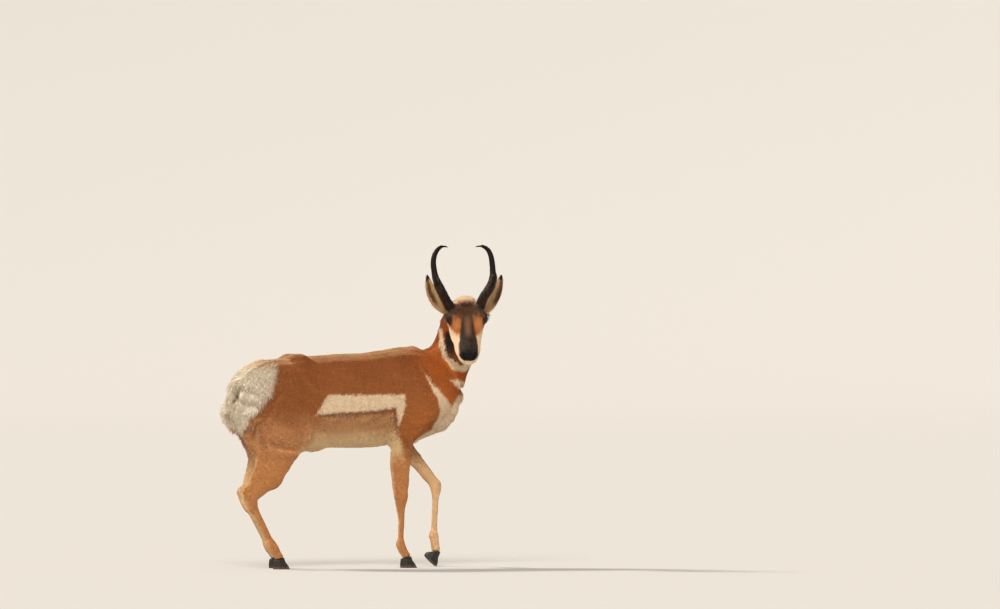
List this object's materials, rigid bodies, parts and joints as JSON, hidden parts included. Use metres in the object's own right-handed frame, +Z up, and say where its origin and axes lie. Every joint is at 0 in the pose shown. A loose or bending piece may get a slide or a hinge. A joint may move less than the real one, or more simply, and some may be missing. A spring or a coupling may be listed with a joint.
{
  "type": "pronghorn buck, standing",
  "caption": "Life-size pronghorn buck standing still with its head turned to its right, with pronged horns, open ears and cloven hooves.",
  "frame": {"origin": "middle of the bottom of the whole animal's bounding box, on the floor under its trunk", "axes": "+X the way the trunk faces, +Y the animal's left, +Z up; the head is turned about 106 degrees to the animal's right"},
  "size_m": [1.1614, 0.4896, 1.3479],
  "materials": {
    "coat": "short dense hair, tan with white patches",
    "horn": "rough black-brown keratin, smoother at the tips",
    "hoof": "worn black keratin",
    "eye": "wet and glossy"
  },
  "bodies": {
    "root": {"chest": "coat", "belly": "coat", "haunches": "coat", "neck": "coat", "tail": "coat", "fore_right_upper": "coat", "fore_right_lower": "coat", "fore_right_hoof_outer": "hoof", "fore_right_hoof_inner": "hoof", "fore_left_upper": "coat", "fore_left_lower": "coat", "fore_left_hoof_outer": "hoof", "fore_left_hoof_inner": "hoof", "hind_right_upper": "coat", "hind_right_lower": "coat", "hind_right_hoof_outer": "hoof", "hind_right_hoof_inner": "hoof", "hind_left_upper": "coat", "hind_left_lower": "coat", "hind_left_hoof_outer": "hoof", "hind_left_hoof_inner": "hoof", "eye_left": "eye", "eye_right": "eye", "head": "coat", "horn_left": "horn", "ear_left": "coat", "horn_right": "horn", "ear_right": "coat"}
  },
  "joints": []
}
